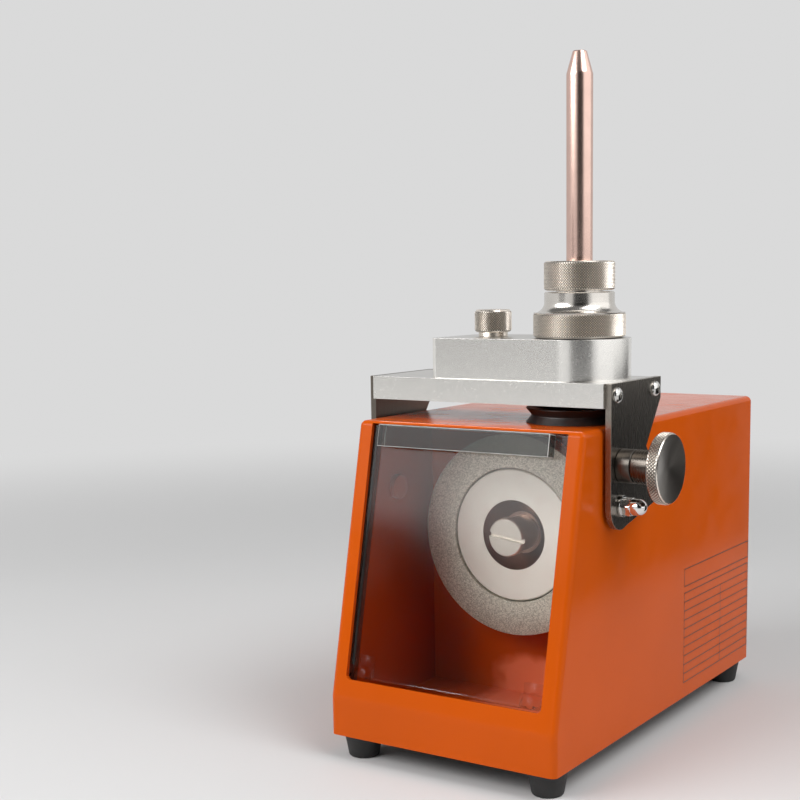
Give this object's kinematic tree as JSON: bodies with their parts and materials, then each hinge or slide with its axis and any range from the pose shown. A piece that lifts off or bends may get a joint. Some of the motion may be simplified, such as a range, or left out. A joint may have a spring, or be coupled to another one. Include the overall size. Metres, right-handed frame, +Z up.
{
  "type": "tungsten electrode sharpener",
  "caption": "Bench grinder for welding electrodes: orange sheet case with hinged window, cup wheel, and a tilting aluminium head with knurled chuck and copper guide tube.",
  "frame": {"origin": "middle of the case's foot, on the plane that the rubber feet stand on", "axes": "+Z up along the guide tube, -Y out of the front with the window, +X to the side with the lock knob"},
  "size_m": [0.1675, 0.2353, 0.3295],
  "materials": {
    "orange_paint": "glossy orange stoved paint on sheet steel",
    "base_paint": "fine black powder coat",
    "zinc_screws": "bright zinc plate",
    "foot_rubber": "matt black moulded rubber",
    "seal_rubber": "satin black rubber",
    "guide_plastic": "matt black plastic",
    "smoked_pane": "smoked clear acrylic",
    "clear_grip": "clear acrylic with polished edges",
    "motor_steel": "bright drawn steel",
    "motor_cast": "die-cast aluminium",
    "rotor_iron": "varnished laminations",
    "black_screws": "black oxide",
    "wheel_plate": "turned and nickel plated",
    "abrasive": "grey diamond grit in a plated bond",
    "arbor_steel": "turned steel",
    "head_aluminium": "bead-blasted aluminium with bright edges",
    "bracket_steel": "brushed stainless steel",
    "dome_screws": "stainless steel",
    "acorn_chrome": "polished chrome",
    "spacer_nylon": "natural nylon",
    "knurled_steel": "turned stainless steel with diamond knurls",
    "bush_bronze": "plain bearing bronze",
    "collet_steel": "ground spring steel",
    "copper": "polished copper",
    "switch_black": "black moulded plastic",
    "rocker_red": "glossy red plastic",
    "contact_brass": "plated brass"
  },
  "bodies": {
    "case": {"housing": "orange_paint", "base_plate": "base_paint", "base_screws": "zinc_screws", "rubber_feet": "foot_rubber", "foot_screws": "zinc_screws", "chamber_wall": "orange_paint", "dust_seal": "seal_rubber", "window_frame": "guide_plastic", "motor_can": "motor_steel", "motor_end_cap": "motor_cast", "motor_screws": "black_screws", "front_bearing": "motor_steel", "rear_bearing": "motor_steel", "pivot_studs": "zinc_screws", "pivot_spacers": "spacer_nylon", "pivot_washers": "dome_screws", "acorn_nuts": "acorn_chrome", "lock_stud": "zinc_screws", "lock_sleeve": "knurled_steel", "switch_bezel": "switch_black", "power_inlet": "switch_black", "inlet_pins": "contact_brass"},
    "wheel": {"motor_shaft": "motor_steel", "motor_rotor": "rotor_iron", "wheel_hub": "wheel_plate", "abrasive_ring": "abrasive", "arbor_screw": "arbor_steel"},
    "window": {"window_pane": "smoked_pane", "window_grip": "clear_grip", "hinge_tabs": "smoked_pane"},
    "head": {"head_plate": "head_aluminium", "head_block": "head_aluminium", "block_screws": "black_screws", "left_bracket": "bracket_steel", "right_bracket": "bracket_steel", "bracket_screws": "dome_screws", "spindle_bush": "bush_bronze"},
    "holder": {"chuck_collar": "knurled_steel", "retaining_ring": "black_screws", "collet": "collet_steel", "guide_tube": "copper"},
    "chuck_nut": {"chuck_nut": "knurled_steel"},
    "thumb_screw": {"thumb_screw": "knurled_steel"},
    "lock_knob": {"lock_knob": "knurled_steel"},
    "rocker": {"switch_rocker": "rocker_red"}
  },
  "joints": [
    {"name": "wheel_spin", "type": "hinge", "parent": "case", "child": "wheel", "pos_m": [0, 0, 0.103], "axis": [0, 1, 0], "continuous": true},
    {"name": "window_open", "type": "hinge", "parent": "case", "child": "window", "pos_m": [0, -0.11044, 0.04116], "axis": [1, 0, 0], "range_deg": [0, 90]},
    {"name": "head_tilt", "type": "hinge", "parent": "case", "child": "head", "pos_m": [0, -0.0605, 0.125], "axis": [1, 0, 0], "range_deg": [0, 22.5]},
    {"name": "holder_spin", "type": "hinge", "parent": "head", "child": "holder", "pos_m": [0.0375, -0.048, 0.2119], "axis": [0, 0, 1], "continuous": true},
    {"name": "chuck_nut_turn", "type": "hinge", "parent": "holder", "child": "chuck_nut", "pos_m": [0.0375, -0.048, 0.2355], "axis": [0, 0, 1], "range_deg": [0, 180]},
    {"name": "thumb_screw_turn", "type": "hinge", "parent": "head", "child": "thumb_screw", "pos_m": [-0.009, -0.048, 0.2002], "axis": [0, 0, 1], "range_deg": [0, 360]},
    {"name": "lock_knob_turn", "type": "hinge", "parent": "case", "child": "lock_knob", "pos_m": [0.08, -0.0605, 0.1435], "axis": [1, 0, 0], "range_deg": [0, 360]},
    {"name": "switch_rock", "type": "hinge", "parent": "case", "child": "rocker", "pos_m": [-0.03, 0.11, 0.042], "axis": [1, 0, 0], "range_deg": [-18, 0]}
  ]
}
